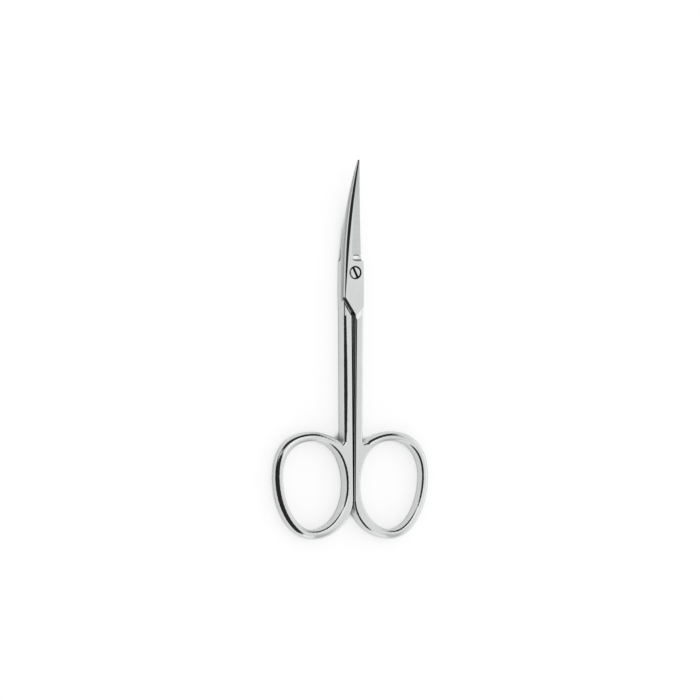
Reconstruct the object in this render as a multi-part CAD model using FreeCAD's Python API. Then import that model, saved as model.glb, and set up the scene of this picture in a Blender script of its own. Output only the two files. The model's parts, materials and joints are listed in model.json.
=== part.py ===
import FreeCAD
import Part
import math
import os

# Cuticle scissors, closed and lying flat: two forged halves that cross at a slotted pivot screw.
# Millimetres. Z is the screw's axis, with the head up. Y runs from the finger bows to the tip.
# The origin is under the middle of the closed pair, on the surface that the shanks rest on.
# The front half carries the screw's head and has its bow at +X. The rear half has its bow at -X.

# Overall
overall_length = 90.0
blade_reach = 26.7
pivot_offset = 0.45
thickness = 3.7
lap_relief = 0.2
lap_play = 0.06

# Blades
blade_rise = 4.3
flat_radius = 2.5
tip_thickness = 0.45
tip_width = 0.35
spine_reach = 2.26
spine_bulge = 0.15
spine_foot_bulge = 0.42
edge_bulge = 0.82
face_flat_length = 2.0

# Ground bevel along each cutting edge, the nick that a round-rimmed wheel leaves where it starts,
# and the facet along the spine, wide in the middle of the blade
edge_thickness = 0.25
ridge_offset = 0.55
ridge_middle_offset = 0.25
ridge_tip_offset = 0.08
grind_overrun = 0.5
nick_distance = 3.6
nick_wheel_radius = 5.0
nick_rim_radius = 0.9
nick_depth = 0.3
facet_start = 0.13
facet_middle = 0.45
facet_tip = 0.2

# Laps and shoulders, as distances below the pivot
lap_corner_drop = 5.9
lap_foot_drop = 10.1
shoulder_gap = 0.75
ramp_outer_drop = 8.2
ramp_inner_step = 0.2
ramp_length = 0.9
shoulder_chamfer = 0.4
foot_chamfer = 0.15

# Shanks
shank_outer = 2.61
shank_outer_low = 2.43
shank_inner = 0.5
bow_gap = 0.2
crotch_round = 0.4
gap_side_round = 0.45
outer_round = 0.7

# Finger bows. Shares are of the bow's reach or height. Flats are what the roundings leave of the band.
bow_reach = 20.1
bow_height = 25.6
crown_share = 0.507
arm_drop = 3.2
outer_belly_share = 0.586
inner_belly_share = 0.375
band_top = 2.3
band_outer = 2.0
band_bottom = 2.2
band_inner = 1.75
hole_belly_share = 0.492
fullness_high = 0.63
fullness_low = 0.55
arm_slope = 45.0
outer_flat = 0.2
band_flat = 0.1
bow_thinning = 0.5
bow_flat_reach = 4.0

# Pivot screw
head_diameter = 2.7
head_height = 0.8
head_clearance = 0.25
neck_diameter = 2.1
neck_clearance = 0.03
stem_diameter = 1.8
stem_clearance = 0.02
head_play = 0.02
slot_width = 0.6
slot_depth = 0.5
slot_angle = 26.0
head_chamfer = 0.18
peen_spread = 0.25

# Worked-out places
pivot_y = overall_length / 2 - blade_reach
tip_y = overall_length / 2
foot_y = -overall_length / 2
middle_z = thickness / 2
bow_crown = bow_reach * crown_share
bow_round = thickness / 2 - bow_thinning - outer_flat / 2
hole_round = band_outer - bow_round - band_flat
lap_top = thickness - lap_relief
beyond = thickness * 2
closeness = 0.001
UP = FreeCAD.Vector(0, 0, 1)
LENGTHWISE = FreeCAD.Vector(0, 1, 0)
ACROSS = FreeCAD.Vector(1, 0, 0)


def at(x, y, z=0.0):
    """A point, with y measured from the middle of the length."""
    return FreeCAD.Vector(x, y, z)


def on_pivot(z=0.0):
    """A point on the screw's axis."""
    return at(pivot_offset, pivot_y, z)


def line(a, b):
    """A straight edge."""
    return Part.LineSegment(a, b).toShape()


def arc(a, b, bulge):
    """An arc from a to b whose middle stands off its chord by the bulge, to the left of the way."""
    chord = b - a
    side = UP.cross(chord)
    side.normalize()
    return Part.Arc(a, (a + b) * 0.5 + side * bulge, b).toShape()


def bend(a, a_way, b, b_way, fullness):
    """A curve from a to b with given end directions. Its handles are that share of the way to the corner."""
    a_way = FreeCAD.Vector(a_way)
    b_way = FreeCAD.Vector(b_way)
    a_way.normalize()
    b_way.normalize()
    across = b - a
    turn = a_way.cross(b_way).z
    a_handle = across.cross(b_way).z / turn * fullness
    b_handle = a_way.cross(across).z / turn * fullness
    curve = Part.BezierCurve()
    curve.setPoles([a, a + a_way * a_handle, b - b_way * b_handle, b])
    return curve.toBSpline().toShape()


def arc_radius(run, rise):
    """The radius of an arc that leaves a level line and has risen by that much after the run."""
    return (run ** 2 + rise ** 2) / (2 * rise)


def arc_rise(radius, run):
    """How far an arc that leaves a level line has risen after the run."""
    return radius - math.sqrt(radius ** 2 - run ** 2)


def rising_arc(start, end, level, radius, place):
    """An arc that leaves its level at the start and rises to the end, drawn with the given points."""
    middle = (start + end) / 2
    first = place(start, level)
    second = place(middle, level + arc_rise(radius, middle - start))
    third = place(end, level + arc_rise(radius, end - start))
    return Part.Arc(first, second, third).toShape(), third


def prism(edges, low, high):
    """The solid between two heights over a closed outline."""
    face = Part.Face(Part.Wire(edges))
    solid = face.extrude(UP * (high - low))
    solid.translate(UP * low)
    return solid


def polygon(points):
    """The straight edges of a closed outline."""
    return Part.makePolygon(points + points[:1]).Edges


def block_beside(a, b, low, high):
    """A large block whose one side stands on the line from a to b, to the left of it."""
    way = b - a
    way.normalize()
    left = UP.cross(way)
    far = overall_length
    start = a - way * far
    end = b + way * far
    return prism(polygon([start, end, end + left * far, start + left * far]), low, high)


def wedge_beside(a, b, level, drop, run):
    """Cuts a slope down to the line from a to b: it starts at the level, a run to the right of the line."""
    way = b - a
    way.normalize()
    right = way.cross(UP)
    start = a - way * beyond
    rise = drop / abs(drop) * beyond
    low = start + UP * (level - drop)
    high = start + right * run + UP * level
    outside = start + right * run + UP * (level + rise)
    inside = start + UP * (level + rise)
    face = Part.Face(Part.Wire(polygon([low, high, outside, inside])))
    return face.extrude(way * ((b - a).Length + 2 * beyond))


def bow_points():
    """The four extreme points of a finger bow: innermost, lowest, outermost and topmost."""
    inner = at(bow_gap / 2, foot_y + bow_height * inner_belly_share)
    low = at(bow_crown, foot_y)
    outer = at(bow_reach, foot_y + bow_height * outer_belly_share)
    top = at(bow_crown, foot_y + bow_height)
    return inner, low, outer, top


def ramp_line():
    """Where the front face of the shank has come down to the lap's face."""
    inner = at(shank_inner, pivot_y - lap_foot_drop - ramp_inner_step)
    return inner, at(shank_outer, pivot_y - ramp_outer_drop)


def carried_on(a, b):
    """The line from a through b, carried on to the level of the lap's corner."""
    share = (pivot_y - lap_corner_drop - a.y) / (b.y - a.y)
    return a + (b - a) * share


def handle_outline():
    """Shank and bow from above, from the inner side of the shank round the bow to the outer side."""
    inner, low, outer, top = bow_points()
    ramp_inner, ramp_outer = ramp_line()
    crotch = at(shank_outer_low, top.y - arm_drop)
    shank_start = carried_on(inner, ramp_inner)
    shank_end = carried_on(crotch, ramp_outer)
    slope = math.radians(arm_slope)
    arm_way = at(-math.cos(slope), -math.sin(slope))
    left = at(-1, 0)
    right = at(1, 0)
    up = at(0, 1)
    return [
        line(shank_start, inner),
        bend(inner, inner - shank_start, low, right, fullness_low),
        bend(low, right, outer, up, fullness_low),
        bend(outer, up, top, left, fullness_high),
        bend(top, left, crotch, arm_way, fullness_low),
        line(crotch, shank_end),
        line(shank_end, shank_start),
    ]


def hole_outline():
    """The finger hole, set in from the bow by the band's width on each side."""
    inner, low, outer, top = bow_points()
    inner = at(inner.x + band_inner, foot_y + bow_height * hole_belly_share)
    low = low + at(0, band_bottom)
    outer = outer - at(band_outer, 0)
    top = top - at(0, band_top)
    left = at(-1, 0)
    right = at(1, 0)
    up = at(0, 1)
    down = at(0, -1)
    return [
        bend(inner, down, low, right, fullness_low),
        bend(low, right, outer, up, fullness_low),
        bend(outer, up, top, left, fullness_high),
        bend(top, left, inner, down, fullness_high),
    ]


def bow_envelope():
    """The room for the handle: level near the shank, then thinner towards the far side of the bow."""
    back = -bow_reach
    far = bow_reach + beyond
    radius = arc_radius(bow_reach - bow_flat_reach, bow_thinning)

    def underside(x, z):
        return at(x, foot_y - beyond, z)

    def upper_side(x, z):
        return at(x, foot_y - beyond, thickness - z)

    low_arc, low_end = rising_arc(bow_flat_reach, far, 0, radius, underside)
    high_arc, high_end = rising_arc(bow_flat_reach, far, 0, radius, upper_side)
    edges = [
        line(underside(back, 0), underside(bow_flat_reach, 0)),
        low_arc,
        line(low_end, high_end),
        high_arc,
        line(upper_side(bow_flat_reach, 0), upper_side(back, 0)),
        line(upper_side(back, 0), underside(back, 0)),
    ]
    return Part.Face(Part.Wire(edges)).extrude(LENGTHWISE * (overall_length + beyond))


def on_wall(edge, outline):
    """Whether an edge of a solid lies over one of the outline's edges."""
    middle = edge.valueAt((edge.FirstParameter + edge.LastParameter) / 2)
    spot = Part.Vertex(at(middle.x, middle.y))
    return min(spot.distToShape(side)[0] for side in outline) < closeness


def is_level(edge):
    """Whether an edge lies above or below the middle height all along, so that it isn't up a wall."""
    box = edge.BoundBox
    return box.ZMin > middle_z or box.ZMax < middle_z


def is_thinning_seam(edge):
    """Whether an edge is the line along the length where the handle starts to thin."""
    return all(abs(vertex.Point.x - bow_flat_reach) < closeness for vertex in edge.Vertexes)


def part_way(value, start, end):
    """How far a value has come from the start to the end, from 0 to 1."""
    return min(1.0, max(0.0, (value - start) / (end - start)))


def rim_radius(point):
    """The rounding of the handle's rim: least beside the gap, more outside, and fullest round the bow."""
    if point.x < (shank_inner + shank_outer_low) / 2:
        return gap_side_round
    return outer_round + (bow_round - outer_round) * part_way(point.x, shank_outer, bow_crown)


def rounded(solid, edges, radius_at):
    """The solid with edges rounded, each from the radius at its one end to the radius at its other end."""
    paper = FreeCAD.newDocument()
    base = paper.addObject("Part::Feature", "base")
    base.Shape = solid
    rounding = paper.addObject("Part::Fillet", "rounding")
    rounding.Base = base
    rows = []
    for number, edge in enumerate(solid.Edges, 1):
        if any(edge.isSame(wanted) for wanted in edges):
            first = edge.firstVertex(True).Point
            last = edge.lastVertex(True).Point
            rows.append((number, radius_at(first), radius_at(last)))
    rounding.Edges = rows
    paper.recompute()
    made = rounding.Shape.copy()
    FreeCAD.closeDocument(paper.Name)
    return made.Solids[0]


def shoulder_line():
    """The front half's shoulder, which stands off the rear lap's foot by the shoulder gap."""
    corner = at(spine_reach, pivot_y - lap_corner_drop)
    foot = at(-shank_inner, pivot_y - lap_foot_drop)
    way = foot - corner
    way.normalize()
    away = UP.cross(way) * shoulder_gap
    return foot + away, corner + away


def handle():
    """Shank and bow of the front half, rounded along the edges and cut to its shoulder and ramp."""
    outline = handle_outline()
    solid = prism(outline, 0, thickness)
    crotch = outline[5].Vertexes[0].Point
    corner = [e for e in solid.Edges if not is_level(e) and e.distToShape(Part.Vertex(crotch))[0] < closeness]
    solid = solid.makeFillet(crotch_round, corner)
    solid = solid.common(bow_envelope()).Solids[0]
    top_end = outline[6]
    rims = [e for e in solid.Edges if is_level(e) and not on_wall(e, [top_end])]
    rims = [e for e in rims if not is_thinning_seam(e)]
    solid = rounded(solid, rims, rim_radius)
    hole = hole_outline()
    solid = solid.cut(prism(hole, -beyond, beyond)).Solids[0]
    rims = [e for e in solid.Edges if is_level(e) and on_wall(e, hole)]
    solid = solid.makeFillet(hole_round, rims)
    lap_floor = middle_z + lap_play / 2
    shoulder = shoulder_line()
    ramp = ramp_line()
    solid = solid.cut(block_beside(*shoulder, -beyond, lap_floor))
    solid = solid.cut(wedge_beside(*shoulder, 0, -shoulder_chamfer, shoulder_chamfer))
    solid = solid.cut(block_beside(*ramp, lap_floor, beyond))
    solid = solid.cut(wedge_beside(*ramp, thickness, lap_relief, ramp_length))
    return solid.Solids[0]


def dish_radius():
    """The radius of the curl that the blades meet on."""
    return arc_radius(blade_reach - flat_radius, blade_rise)


def dish_height(x, y):
    """The height of the surface that the blades meet on."""
    run = math.hypot(x - pivot_offset, y - pivot_y) - flat_radius
    return middle_z + arc_rise(dish_radius(), max(run, 0))


def dish(level, above):
    """The room above or below the surface that the blades meet on: a flat disc whose rim curls up.

    It is turned about the screw's axis, so the blades slide along it at any opening.
    """
    end = blade_reach + beyond
    far = level + 2 * beyond if above else level - 2 * beyond

    def place(run, z):
        return on_pivot(z) + ACROSS * run

    rim, last = rising_arc(flat_radius, end, level, dish_radius(), place)
    edges = [
        line(place(0, far), place(0, level)),
        line(place(0, level), place(flat_radius, level)),
        rim,
        line(last, place(end, far)),
        line(place(end, far), place(0, far)),
    ]
    return Part.Face(Part.Wire(edges)).revolve(on_pivot(), UP, 360)


def outer_face_radius(front):
    """The radius of a blade's outer face along its length."""
    run = blade_reach - face_flat_length
    if front:
        return arc_radius(run, middle_z + blade_rise + tip_thickness - lap_top)
    return arc_radius(run, middle_z + blade_rise - tip_thickness - lap_relief)


def face_height(front, y):
    """The height of a half's outer face over the lap and the blade."""
    level = lap_top if front else lap_relief
    run = y - pivot_y - face_flat_length
    if run <= 0:
        return level
    return level + arc_rise(outer_face_radius(front), run)


def face_room(front):
    """The room inside the outer face of a half: below it in front, above it at the rear."""
    level = lap_top if front else lap_relief
    far = level - 2 * beyond if front else level + 2 * beyond
    low_y = pivot_y - blade_reach
    start = pivot_y + face_flat_length
    end = tip_y + flat_radius

    def place(y, z):
        return at(-bow_reach, y, z)

    rim, last = rising_arc(start, end, level, outer_face_radius(front), place)
    edges = [
        line(place(low_y, far), place(low_y, level)),
        line(place(low_y, level), place(start, level)),
        rim,
        line(last, place(end, far)),
        line(place(end, far), place(low_y, far)),
    ]
    return Part.Face(Part.Wire(edges)).extrude(ACROSS * 2 * bow_reach)


def lap_foot():
    """The two ends of the front lap's foot, at the gap and at the spine."""
    return at(shank_inner, pivot_y - lap_foot_drop), at(-spine_reach, pivot_y - lap_corner_drop)


def blade_outline():
    """Lap and blade of the front half from above: foot, room for the spine, tip, cutting edge and ramp."""
    foot, corner = lap_foot()
    outside = corner + (corner - foot)
    tip_left = at(outside.x, tip_y)
    tip_right = at(tip_width / 2, tip_y)
    ramp_inner, ramp_outer = ramp_line()
    return [
        line(foot, outside),
        line(outside, tip_left),
        line(tip_left, tip_right),
        arc(tip_right, ramp_outer, edge_bulge),
        line(ramp_outer, ramp_inner),
        line(ramp_inner, foot),
    ]


def edge_reach(y):
    """How far the cutting edge stands from the middle plane."""
    edge = blade_outline()[3]
    across = line(at(0, y), at(bow_reach, y))
    return edge.distToShape(across)[1][0][0].x


def bevel_ends(front, y, offset):
    """Where the bevel meets the outer face and the cutting edge at one place along the blade."""
    side = 1 if front else -1
    reach = side * edge_reach(y)
    ridge = at(-side * offset, y, face_height(front, y))
    return ridge, at(reach, y, dish_height(reach, y) + side * edge_thickness)


def ground_slope(highs, lows):
    """The surface through two rows of points across a blade, which runs on past both."""
    rails = []
    for points, others in ((highs, lows), (lows, highs)):
        curve = Part.BSplineCurve()
        curve.interpolate([p + (p - q) * grind_overrun for p, q in zip(points, others)])
        rails.append(curve.toShape())
    return Part.makeRuledSurface(*rails)


def bevel(front):
    """The room that grinding takes off a blade, from a ridge on the outer face to the cutting edge."""
    start = pivot_y + nick_distance
    spots = [start, (start + tip_y) / 2, tip_y]
    offsets = [ridge_offset, ridge_middle_offset, ridge_tip_offset - tip_width / 2]
    rows = [bevel_ends(front, y, offset) for y, offset in zip(spots, offsets)]
    ridges = [row[0] for row in rows]
    edges = [row[1] for row in rows]
    away = UP if front else -UP
    return ground_slope(ridges, edges).extrude(away * beyond)


def bowed(start, middle, end, share):
    """A value that runs from the start through the middle to the end as the share goes from 0 to 1."""
    level = start + (end - start) * share
    return level + (middle - (start + end) / 2) * 4 * share * (1 - share)


def spine_rows(front):
    """Points up the spine at a few places from below the lap's corner to beyond the tip.

    Each row has a point at the blade's foot, one at the outer face and the facet's width.
    """
    side = 1 if front else -1
    corner_y = pivot_y - lap_corner_drop
    rows = []
    for share in (-0.04, 0.2, 0.4, 0.6, 0.8, 1.04):
        y = corner_y + (tip_y - corner_y) * share
        middle = (spine_reach + tip_width / 2) / 2
        foot_x = -side * bowed(spine_reach, middle + spine_foot_bulge, tip_width / 2, share)
        top_x = -side * bowed(spine_reach, middle + spine_bulge, tip_width / 2, share)
        width = bowed(facet_start, facet_middle, facet_tip, share)
        rows.append((at(foot_x, y, dish_height(foot_x, y)), at(top_x, y, face_height(front, y)), width))
    return rows


def spine_side(front):
    """The room outside the spine's wall, which leans in from the foot to the outer face."""
    outside = -ACROSS if front else ACROSS
    feet = [foot for foot, top, width in spine_rows(front)]
    tops = [top for foot, top, width in spine_rows(front)]
    return ground_slope(tops, feet).extrude(outside * bow_reach)


def spine_facet(front):
    """The room that a facet at 45 degrees takes off the spine's outer corner."""
    side = 1 if front else -1
    ins = [top + ACROSS * side * width for foot, top, width in spine_rows(front)]
    downs = [top - UP * side * width for foot, top, width in spine_rows(front)]
    return ground_slope(ins, downs).extrude(UP * side * beyond)


def foot_slope(front):
    """The room that a small chamfer takes off the lap's foot."""
    foot, corner = lap_foot()
    if front:
        return wedge_beside(foot, corner, lap_top, foot_chamfer, foot_chamfer)
    foot.x = -foot.x
    corner.x = -corner.x
    return wedge_beside(corner, foot, lap_relief, -foot_chamfer, foot_chamfer)


def nick(front):
    """The wheel at its deepest, a little below the middle of the bevel's start, with its axle lengthwise."""
    ridge, edge = bevel_ends(front, pivot_y + nick_distance, ridge_offset)
    away = (edge - ridge).cross(LENGTHWISE)
    away.normalize()
    middle = (ridge + edge) * 0.5
    centre = middle + away * (nick_wheel_radius - nick_depth)
    return Part.makeTorus(nick_wheel_radius - nick_rim_radius, nick_rim_radius, centre, LENGTHWISE)


def lap_and_blade(front):
    """Lap and blade of one half, ground to its spine, bevel and nick."""
    outline = blade_outline()
    if not front:
        outline = [edge.mirror(at(0, 0), ACROSS) for edge in outline]
    solid = prism(outline, -beyond, 2 * beyond)
    play = lap_play / 2 if front else -lap_play / 2
    solid = solid.common(face_room(front))
    solid = solid.common(dish(middle_z + play, front))
    for room in (spine_side, spine_facet, foot_slope, bevel, nick):
        solid = solid.cut(room(front))
    return solid.Solids[0]


def cylinder(diameter, low, high):
    """An upright cylinder on the pivot axis."""
    return Part.makeCylinder(diameter / 2, high - low, on_pivot(low), UP)


def cone(low_diameter, high_diameter, low, high):
    """An upright cone on the pivot axis."""
    return Part.makeCone(low_diameter / 2, high_diameter / 2, high - low, on_pivot(low), UP)


def front_half():
    """The half with the screw's head let into its lap."""
    solid = handle().fuse(lap_and_blade(True)).removeSplitter()
    seat = lap_top - head_height - head_play
    solid = solid.cut(cylinder(head_diameter + 2 * head_clearance, seat, beyond))
    solid = solid.cut(cylinder(neck_diameter + 2 * neck_clearance, -beyond, beyond))
    return solid.Solids[0]


def rear_half():
    """The half that holds the screw's stem, with a countersink for its peened end."""
    shank = handle()
    shank.rotate(at(0, 0, middle_z), LENGTHWISE, 180)
    solid = shank.fuse(lap_and_blade(False)).removeSplitter()
    hole = stem_diameter + 2 * stem_clearance
    solid = solid.cut(cylinder(hole, -beyond, beyond))
    solid = solid.cut(cone(hole + 2 * peen_spread, hole, lap_relief, lap_relief + peen_spread))
    return solid.Solids[0]


def pivot_screw():
    """Slotted screw: head, plain neck for the front half and stem with a peened end in the rear half."""
    rear_lap_top = middle_z - lap_play / 2
    under_head = lap_top - head_height
    solid = cylinder(head_diameter, under_head, lap_top - head_chamfer)
    solid = solid.fuse(cone(head_diameter, head_diameter - 2 * head_chamfer, lap_top - head_chamfer, lap_top))
    solid = solid.fuse(cylinder(neck_diameter, rear_lap_top, under_head))
    solid = solid.fuse(cylinder(stem_diameter, lap_relief, rear_lap_top))
    peened = stem_diameter + 2 * peen_spread
    solid = solid.fuse(cone(peened, stem_diameter, lap_relief, lap_relief + peen_spread))
    slot = Part.makeBox(slot_width, head_diameter * 2, slot_depth * 2,
                        at(-slot_width / 2, -head_diameter, lap_top - slot_depth))
    slot.rotate(at(0, 0), UP, slot_angle)
    slot.translate(on_pivot())
    return solid.cut(slot).removeSplitter().Solids[0]


if __name__ == "__main__":
    os.makedirs("parts", exist_ok=True)
    pieces = {"front_half": front_half(), "rear_half": rear_half(), "pivot_screw": pivot_screw()}
    for name, solid in pieces.items():
        solid.exportStep("parts/" + name + ".step")
        print(name, solid.isValid(), round(solid.Volume, 2), "cubic millimetres", len(solid.Faces), "faces")
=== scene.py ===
import json
import math

import bpy
from mathutils import Matrix, Vector

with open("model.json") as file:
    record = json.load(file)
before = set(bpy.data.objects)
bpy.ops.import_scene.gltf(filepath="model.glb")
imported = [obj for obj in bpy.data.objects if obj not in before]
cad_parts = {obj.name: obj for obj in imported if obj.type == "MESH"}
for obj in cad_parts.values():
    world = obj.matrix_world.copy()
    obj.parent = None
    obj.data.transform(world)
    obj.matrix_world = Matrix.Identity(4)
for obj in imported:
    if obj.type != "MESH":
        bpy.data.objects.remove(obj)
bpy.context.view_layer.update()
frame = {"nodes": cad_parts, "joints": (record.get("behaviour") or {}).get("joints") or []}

bl_info = {
    "name": "Cuticle scissors",
    "version": (1, 0, 0),
    "blender": (4, 5, 0),
    "location": "3D View > Sidebar > Scissors",
    "description": "Finishes for the two halves and the pivot screw of small curved scissors, with a studio stage",
    "category": "Object",
}

MM = 0.001

# The surface that the two inner faces slide on.
PIVOT = Vector(frame["joints"][0]["pos_m"])
MIDDLE_Z = 1.85 * MM
DISC_RADIUS = 2.5 * MM
CURL_RADIUS = 70.25 * MM

# Places along a half, counted from the pivot towards the tip.
BEVEL_START = 4.2 * MM
NICK_RANGE = (2.4 * MM, 4.8 * MM)
FOOT_RANGE = (-12.0 * MM, -4.5 * MM)
LAP_START = -10.2 * MM
EDGE_BLUR = 0.1 * MM
FOOT_BLUR = 0.5 * MM

# The way that the lap's oblique foot faces, with its sideways part as on the rear half.
FOOT_WAY = Vector((4.2, -2.76, 0.0)).normalized()

# The screw's seat in the front lap, and the slot and turning rings of its head. A pair is where a soft step
# starts and ends.
SEAT_RADIUS = (1.61 * MM, 1.64 * MM)
SEAT_TOP = (3.42 * MM, 3.48 * MM)
SLOT_FLOOR = (2.0 * MM, 2.5 * MM)
SLOT_TOP = (3.24 * MM, 3.3 * MM)
RING_PITCH = 0.11 * MM

# The floor: half its width, how near things stand where its glow fades, and where the card that only mirrors see
# begins.
FLOOR_REACH = 6.0
GAP_REACH = 3.0 * MM
CARD_EDGE = (-27.5 * MM, -23.5 * MM)
CARD_COLOUR = (0.01, 0.01, 0.01, 1.0)
MIRRORED_GLOW = 0.77


class Wire:
    """A shader socket that takes part in Python expressions: arithmetic on it adds Math nodes."""

    def __init__(self, tree, socket=None):
        self.tree = tree
        self.socket = socket

    def node(self, kind, settings=(), inputs=(), output=0):
        """Adds a node of a type, with its settings first and then its sockets' values or links."""
        made = self.tree.nodes.new(kind)
        for name, value in dict(settings).items():
            setattr(made, name, value)
        for key, value in dict(inputs).items():
            if isinstance(value, Wire):
                self.tree.links.new(value.socket, made.inputs[key])
            else:
                made.inputs[key].default_value = value
        return Wire(self.tree, made.outputs[output] if made.outputs else None)

    def math(self, operation, *others):
        """A Math node on this socket and up to two more values."""
        values = dict(enumerate((self, *others)))
        return self.node("ShaderNodeMath", {"operation": operation}, values)

    def __add__(self, other):
        return self.math("ADD", other)

    __radd__ = __add__

    def __sub__(self, other):
        return self.math("SUBTRACT", other)

    def __rsub__(self, other):
        return self.node("ShaderNodeMath", {"operation": "SUBTRACT"}, {0: other, 1: self})

    def __mul__(self, other):
        return self.math("MULTIPLY", other)

    __rmul__ = __mul__

    def part(self, index):
        """The x, y or z of a vector, by its index."""
        return self.node("ShaderNodeSeparateXYZ", {}, {0: self}, index)

    def along(self, direction):
        """How far a vector goes in a direction."""
        settings = {"operation": "DOT_PRODUCT"}
        return self.node("ShaderNodeVectorMath", settings, {0: self, 1: direction}, "Value")

    def rise(self, low, high):
        """0 below the low value, 1 above the high one, and a smooth rise between them."""
        settings = {"interpolation_type": "SMOOTHSTEP"}
        inputs = {"Value": self, "From Min": low, "From Max": high}
        return self.node("ShaderNodeMapRange", settings, inputs)

    def fall(self, low, high):
        """1 below the low value, 0 above the high one, and a smooth fall between them."""
        return 1.0 - self.rise(low, high)

    def within(self, low, high, blur):
        """1 between two values and 0 outside them, with a smooth step of some width inside each."""
        return self.rise(low, low + blur) * self.fall(high - blur, high)

    def mixed(self, first, second):
        """The first colour where this is 0 and the second where it is 1."""
        settings = {"data_type": "RGBA"}
        return self.node("ShaderNodeMix", settings, {"Factor": self, 6: first, 7: second}, 2)


class ScissorsFinish(bpy.types.PropertyGroup):
    """Colours and textures of the plated metal."""

    plate_colour: bpy.props.FloatVectorProperty(
        name="Plate", description="Colour of the polished nickel plate", subtype="COLOR", size=4,
        default=(0.778, 0.797, 0.793, 1.0), min=0.0, max=1.0)
    ground_colour: bpy.props.FloatVectorProperty(
        name="Ground steel", description="Colour of the satin-ground bevels", subtype="COLOR", size=4,
        default=(0.55, 0.568, 0.57, 1.0), min=0.0, max=1.0)
    inner_colour: bpy.props.FloatVectorProperty(
        name="Inner faces", description="Colour of the matt faces that slide on each other", subtype="COLOR", size=4,
        default=(0.78, 0.785, 0.785, 1.0), min=0.0, max=1.0)
    haze_colour: bpy.props.FloatVectorProperty(
        name="Haze", description="Colour of the plate where it is handled", subtype="COLOR", size=4,
        default=(0.743, 0.762, 0.757, 1.0), min=0.0, max=1.0)
    groove_colour: bpy.props.FloatVectorProperty(
        name="Grooves", description="Colour between the grinding lines", subtype="COLOR", size=4,
        default=(0.5, 0.51, 0.515, 1.0), min=0.0, max=1.0)
    # Painted shade: a near-black colour laid where shade falls, in the screw's slot and seat, on the lap's foot and at
    # the nick's rims.
    painted_shade_colour: bpy.props.FloatVectorProperty(
        name="Residue", description="Colour of the dark film in the slot, the seat and the corners", subtype="COLOR",
        size=4, default=(0.03, 0.03, 0.032, 1.0), min=0.0, max=1.0)
    matt: bpy.props.FloatProperty(
        name="Matt", description="Roughness of the inner faces", subtype="FACTOR", default=0.68, min=0.0, max=1.0)
    polish: bpy.props.FloatProperty(
        name="Polish", description="Roughness of the polished plate", subtype="FACTOR", default=0.05, min=0.0, max=1.0)
    satin: bpy.props.FloatProperty(
        name="Satin", description="Roughness of the ground bevels", subtype="FACTOR", default=0.3, min=0.0, max=1.0)
    scratch_depth: bpy.props.FloatProperty(
        name="Scratch depth", description="Depth of the handling marks", unit="LENGTH", default=0.000004, min=0.0)


class ScissorsStage(bpy.types.PropertyGroup):
    """Camera and studio."""

    camera_angle: bpy.props.FloatProperty(
        name="Camera angle", description="Tilt of the camera to the left of straight above", subtype="ANGLE",
        default=math.radians(25.0))
    camera_distance: bpy.props.FloatProperty(
        name="Camera distance", description="From the middle of the scissors", unit="LENGTH", default=2.0, min=0.1)
    frame_width: bpy.props.FloatProperty(
        name="Frame width", description="Width that the picture spans at the scissors", unit="LENGTH",
        default=0.16625, min=0.01)
    shift_right: bpy.props.FloatProperty(
        name="Aim right", description="How far the camera aims to the right of the middle", unit="LENGTH",
        default=-0.00019)
    shift_up: bpy.props.FloatProperty(
        name="Aim up", description="How far the camera aims towards the tip", unit="LENGTH", default=-0.00008)
    floor_colour: bpy.props.FloatVectorProperty(
        name="Floor", description="Colour of the studio floor", subtype="COLOR", size=4,
        default=(0.45, 0.45, 0.45, 1.0), min=0.0, max=1.0)
    floor_glow: bpy.props.FloatProperty(
        name="Floor glow", description="What the lit floor lacks to white", default=0.62, min=0.0)


def new_material(name):
    """An empty node material and its first wire."""
    material = bpy.data.materials.new(name)
    material.use_nodes = True
    material.node_tree.nodes.clear()
    return material, Wire(material.node_tree)


def end_surface(start, shader):
    """Joins the last shader to the material's output."""
    start.node("ShaderNodeOutputMaterial", {}, {"Surface": shader})


def noise(start, place, scale, detail):
    """Plain noise over a piece."""
    return start.node("ShaderNodeTexNoise", {}, {"Vector": place, "Scale": scale, "Detail": detail})


def streaks(start, place, scale, low, high):
    """Noise drawn out along the short side of its scale, as a mask of thin lines."""
    drawn = start.node("ShaderNodeMapping", {}, {"Vector": place, "Scale": scale})
    return noise(start, drawn, 1.0, 3.0).rise(low, high)


def from_pivot(place):
    """How far a point stands from the screw's axis."""
    x = place.part(0) - PIVOT.x
    y = place.part(1) - PIVOT.y
    return (x * x + y * y).math("SQRT")


def dish_depth(place, side):
    """How far a point stands from the surface that the blades slide on, into the half on one side of it.

    That surface is a flat disc about the pivot with a rim that curls up as an arc:
    height = middle + curl - root(curl squared - run squared), with run = distance from the pivot - disc.
    """
    run = (from_pivot(place) - DISC_RADIUS).math("MAXIMUM", 0.0)
    rise = CURL_RADIUS - (CURL_RADIUS ** 2 - run * run).math("SQRT")
    return (place.part(2) - MIDDLE_Z - rise) * side


def inner_faces(place, outwards, side):
    """Mask of the lap's and blade's faces that slide on the other half."""
    on_lap = (place.part(1) - PIVOT.y).rise(LAP_START - EDGE_BLUR, LAP_START + EDGE_BLUR)
    near_dish = dish_depth(place, side).fall(EDGE_BLUR, 2.0 * EDGE_BLUR)
    return on_lap * (-1.0 * outwards).rise(0.7, 0.8) * near_dish


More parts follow.
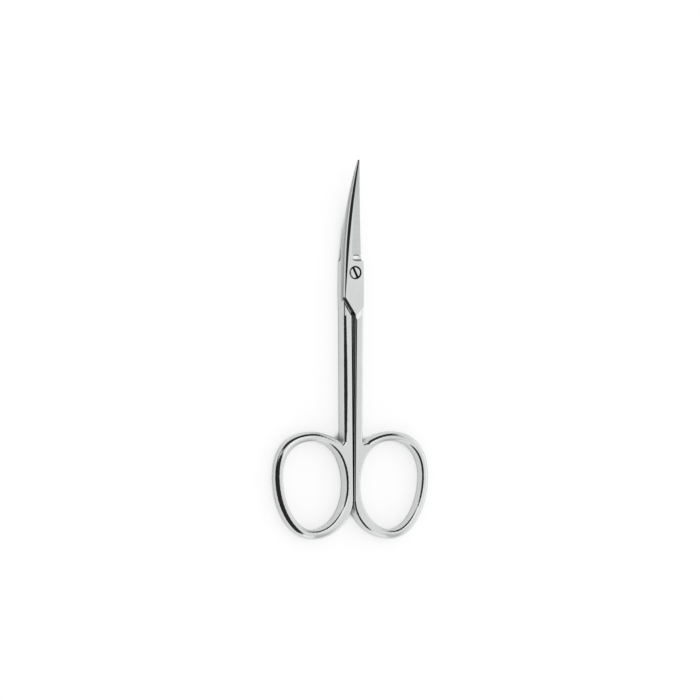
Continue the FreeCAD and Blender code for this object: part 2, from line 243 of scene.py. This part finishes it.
def painted_shade_places(place, normal, outwards, inside, side):
    """Mask of painted shade: in the screw's seat, on the lap's oblique foot and at the nick's steep rims, where the
    metal would mirror darkness.
    """
    along = place.part(1) - PIVOT.y
    seat = from_pivot(place).fall(*SEAT_RADIUS) * place.part(2).fall(*SEAT_TOP) * (1.0 - inside)
    facing = normal.along((-FOOT_WAY.x * side, FOOT_WAY.y, 0.0))
    foot = facing.rise(0.93, 0.97) * along.within(*FOOT_RANGE, FOOT_BLUR)
    steep = normal.part(1).math("ABSOLUTE").rise(0.4, 0.55)
    rim = steep * along.within(*NICK_RANGE, EDGE_BLUR) * outwards.rise(0.3, 0.4)
    return seat.math("MAXIMUM", foot * 0.95).math("MAXIMUM", rim * 0.75)


def plated_metal(name, side):
    """Polished nickel plate with fine handling marks, a satin-ground bevel, matt inner faces and painted shade in the
    seat, on the foot and at the nick's rims.
    """
    finish = bpy.context.scene.scissors_finish
    material, start = new_material(name)
    place = start.node("ShaderNodeTexCoord", output="Object")
    normal = start.node("ShaderNodeTexCoord", output="Normal")
    sideways = normal.part(0) * side
    outwards = normal.part(2) * side
    on_blade = (place.part(1) - PIVOT.y).rise(BEVEL_START - EDGE_BLUR, BEVEL_START + EDGE_BLUR)
    on_bevel = on_blade * sideways.rise(0.22, 0.3) * outwards.rise(0.5, 0.6)
    inside = inner_faces(place, outwards, side)
    ground = on_bevel.math("MAXIMUM", inside)
    # Painted shade: the seat, the lap's foot and the nick's rims are coloured near-black to stand in for the darkness
    # they mirror.
    painted_shade = painted_shade_places(place, normal, outwards, inside, side)

    smudge = noise(start, place, 120.0, 5.0)
    ripple = noise(start, place, 450.0, 2.0)
    hairlines = streaks(start, place, (9000.0, 160.0, 9000.0), 0.62, 0.7)
    scuffs = streaks(start, place, (260.0, 5200.0, 260.0), 0.66, 0.74)
    marks = hairlines.math("MAXIMUM", scuffs)
    grind = streaks(start, place, (500.0, 9000.0, 500.0), 0.25, 0.75)

    polish = finish.polish + smudge.rise(0.45, 0.75) * 0.05 + marks * 0.08
    satin = finish.satin + inside * (finish.matt - finish.satin) + (grind - 0.5) * 0.14
    roughness = polish + ground * (satin - polish)
    roughness = roughness + painted_shade * (0.5 - roughness)
    plate = smudge.rise(0.3, 0.7).mixed(tuple(finish.plate_colour), tuple(finish.haze_colour))
    steel = grind.mixed(tuple(finish.ground_colour), tuple(finish.groove_colour))
    steel = inside.mixed(steel, tuple(finish.inner_colour))
    colour = painted_shade.mixed(ground.mixed(plate, steel), tuple(finish.painted_shade_colour))
    height = (ripple * 0.25 - marks * 0.5) * (1.0 - ground) + grind * ground
    bump = start.node("ShaderNodeBump", {}, {"Strength": 0.35, "Distance": finish.scratch_depth, "Height": height})
    end_surface(start, start.node("ShaderNodeBsdfPrincipled", {}, {
        "Base Color": colour, "Metallic": 1.0 - inside * 0.8, "Roughness": roughness, "Normal": bump}))
    return material


def turned_steel():
    """Bright screw with turning rings on its head, and painted shade in its slot and down its side."""
    finish = bpy.context.scene.scissors_finish
    material, start = new_material("screw_steel")
    place = start.node("ShaderNodeTexCoord", output="Object")
    normal = start.node("ShaderNodeTexCoord", output="Normal")
    z = place.part(2)
    rings = (from_pivot(place) * (2.0 * math.pi / RING_PITCH)).math("SINE") * 0.5 + 0.5
    wear = noise(start, place, 1500.0, 3.0).rise(0.55, 0.75)
    # Painted shade: the slot and the steep sides of the head and stem are coloured near-black, as shade in a recess.
    in_slot = z.rise(*SLOT_FLOOR) * z.fall(*SLOT_TOP)
    painted_screw_shade = in_slot.math("MAXIMUM", normal.part(2).math("ABSOLUTE").fall(0.2, 0.5))
    roughness = finish.polish * 2.0 + rings * 0.08 + wear * 0.12
    roughness = roughness + painted_screw_shade * (0.5 - roughness)
    bright = wear.mixed(tuple(finish.plate_colour), tuple(finish.groove_colour))
    colour = painted_screw_shade.mixed(bright, tuple(finish.painted_shade_colour))
    bump = start.node("ShaderNodeBump", {}, {"Strength": 0.3, "Distance": finish.scratch_depth, "Height": rings})
    end_surface(start, start.node("ShaderNodeBsdfPrincipled", {}, {
        "Base Color": colour, "Metallic": 1.0, "Roughness": roughness, "Normal": bump}))
    return material


def give_material(node, material):
    """Puts one material on a CAD node."""
    slots = frame["nodes"][node].data.materials
    slots.clear()
    slots.append(material)


class SCISSORS_OT_front_half(bpy.types.Operator):
    """Finish the half that carries the screw's head"""

    bl_idname = "scissors.front_half"
    bl_label = "Front half"

    def execute(self, context):
        give_material("front_half", plated_metal("front_plate", 1.0))
        return {"FINISHED"}


class SCISSORS_OT_rear_half(bpy.types.Operator):
    """Finish the half that holds the screw's stem"""

    bl_idname = "scissors.rear_half"
    bl_label = "Rear half"

    def execute(self, context):
        give_material("rear_half", plated_metal("rear_plate", -1.0))
        return {"FINISHED"}


class SCISSORS_OT_pivot_screw(bpy.types.Operator):
    """Finish the slotted pivot screw"""

    bl_idname = "scissors.pivot_screw"
    bl_label = "Pivot screw"

    def execute(self, context):
        give_material("pivot_screw", turned_steel())
        return {"FINISHED"}


def floor_material():
    """White floor that keeps the shadow: a matt surface plus the glow that it lacks to white.

    The glow fades in narrow gaps, and mirrors see a dark card that lies to the left of the scissors.
    """
    stage = bpy.context.scene.scissors_stage
    material, start = new_material("studio_floor")
    seen = start.node("ShaderNodeLightPath", output="Is Camera Ray")
    mirrored = start.node("ShaderNodeLightPath", output="Is Glossy Ray")
    through = start.node("ShaderNodeLightPath", output="Is Transmission Ray")
    share = (seen + (mirrored + through) * MIRRORED_GLOW).math("MINIMUM", 1.0)
    open_sky = start.node("ShaderNodeAmbientOcclusion", {}, {"Distance": GAP_REACH}, "AO").rise(0.32, 0.48)
    matt = start.node("ShaderNodeBsdfDiffuse", {}, {"Color": tuple(stage.floor_colour)})
    light = start.node("ShaderNodeEmission", {}, {"Strength": stage.floor_glow})
    glow = start.node("ShaderNodeMixShader", {}, {0: share * open_sky, 2: light})
    white = start.node("ShaderNodeAddShader", {}, {0: matt, 1: glow})
    card = start.node("ShaderNodeBsdfDiffuse", {}, {"Color": CARD_COLOUR})
    place = start.node("ShaderNodeNewGeometry", output="Position")
    on_card = mirrored * place.part(0).fall(*CARD_EDGE)
    end_surface(start, start.node("ShaderNodeMixShader", {}, {0: on_card, 1: white, 2: card}))
    return material


def lit_studio():
    """Soft light from all round, brighter on the right, with a dark opening on the left and a band beyond the tip.

    Only mirrors see the dark places, so the light on the floor stays even.
    """
    world = bpy.data.worlds.new("studio")
    bpy.context.scene.world = world
    world.use_nodes = True
    world.node_tree.nodes.clear()
    start = Wire(world.node_tree)
    way = start.node("ShaderNodeTexCoord", output="Generated")
    mirrored = start.node("ShaderNodeLightPath", output="Is Glossy Ray")
    across = way.along((1.0, 0.0, 0.0))
    nearer = way.along((0.0, -1.0, 0.0))

    left = way.along((-0.762, -0.367, 0.534)).rise(0.57, 0.68)
    low_left = way.along((-0.76, -0.65, -0.02)).rise(0.84, 0.92)
    height = way.along((0.35, 0.53, -0.848))
    band = height.rise(-0.48, -0.34) * height.fall(0.25, 0.4) * across.rise(-0.85, -0.65) * across.fall(0.45, 0.62)
    dark = left.math("MAXIMUM", low_left).math("MAXIMUM", band)

    overhead = way.along((0.086, 0.309, 0.947)).rise(0.94, 0.985)
    near = nearer.rise(0.7, 0.95)
    right = across.rise(0.7, 0.95)
    dim = across.rise(0.33, 0.43) * across.fall(0.62, 0.75) * nearer.rise(0.15, 0.4)
    level = (1.0 - dark * mirrored * 0.97) * (1.08 + overhead * 0.32 + near * 0.2 + right * 0.35 - dim * 0.35)
    light = start.node("ShaderNodeBackground", {}, {"Strength": level})
    start.node("ShaderNodeOutputWorld", {}, {"Surface": light})


def aim_camera():
    """A long-lens camera above and to the left, with the tip up."""
    stage = bpy.context.scene.scissors_stage
    data = bpy.data.cameras.new("photo_camera")
    data.sensor_width = 36.0
    data.lens = data.sensor_width * stage.camera_distance / stage.frame_width
    data.clip_start = 0.1
    data.clip_end = 10.0
    camera = bpy.data.objects.new("photo_camera", data)
    back = Vector((-math.sin(stage.camera_angle), 0.0, math.cos(stage.camera_angle)))
    up = Vector((0.0, 1.0, 0.0))
    right = up.cross(back)
    turn = Matrix((right, up, back)).transposed()
    target = Vector((0.0, 0.0, MIDDLE_Z)) + right * stage.shift_right + up * stage.shift_up
    camera.matrix_world = Matrix.Translation(target + back * stage.camera_distance) @ turn.to_4x4()
    bpy.context.scene.collection.objects.link(camera)
    bpy.context.scene.camera = camera


def lay_floor():
    """One wide square at the height of the shanks' underside."""
    mesh = bpy.data.meshes.new("floor")
    corners = [(FLOOR_REACH * x, FLOOR_REACH * y, 0.0) for x, y in ((-1, -1), (1, -1), (1, 1), (-1, 1))]
    mesh.from_pydata(corners, [], [(0, 1, 2, 3)])
    mesh.materials.append(floor_material())
    floor = bpy.data.objects.new("floor", mesh)
    bpy.context.scene.collection.objects.link(floor)


class SCISSORS_OT_stage(bpy.types.Operator):
    """Set up the floor, the light and the camera"""

    bl_idname = "scissors.stage"
    bl_label = "Stage"

    def execute(self, context):
        aim_camera()
        lay_floor()
        lit_studio()
        context.scene.view_settings.view_transform = "Standard"
        return {"FINISHED"}


class SCISSORS_PT_panel(bpy.types.Panel):
    """Lists the pieces and the stage"""

    bl_idname = "SCISSORS_PT_panel"
    bl_label = "Scissors"
    bl_space_type = "VIEW_3D"
    bl_region_type = "UI"
    bl_category = "Scissors"

    def draw(self, context):
        for operator in OPERATORS:
            self.layout.operator(operator.bl_idname)
        for group in (context.scene.scissors_finish, context.scene.scissors_stage):
            for name in group.__annotations__:
                self.layout.prop(group, name)


OPERATORS = (SCISSORS_OT_stage, SCISSORS_OT_front_half, SCISSORS_OT_rear_half, SCISSORS_OT_pivot_screw)
CLASSES = (ScissorsFinish, ScissorsStage, *OPERATORS, SCISSORS_PT_panel)


def register():
    """Adds the classes and their settings to Blender."""
    for cls in CLASSES:
        bpy.utils.register_class(cls)
    bpy.types.Scene.scissors_finish = bpy.props.PointerProperty(type=ScissorsFinish)
    bpy.types.Scene.scissors_stage = bpy.props.PointerProperty(type=ScissorsStage)


def unregister():
    """Takes them out again."""
    del bpy.types.Scene.scissors_stage
    del bpy.types.Scene.scissors_finish
    for cls in reversed(CLASSES):
        bpy.utils.unregister_class(cls)


def main():
    """Builds the stage and finishes each piece."""
    register()
    bpy.ops.scissors.stage()
    bpy.ops.scissors.front_half()
    bpy.ops.scissors.rear_half()
    bpy.ops.scissors.pivot_screw()


if __name__ == "__main__":
    main()
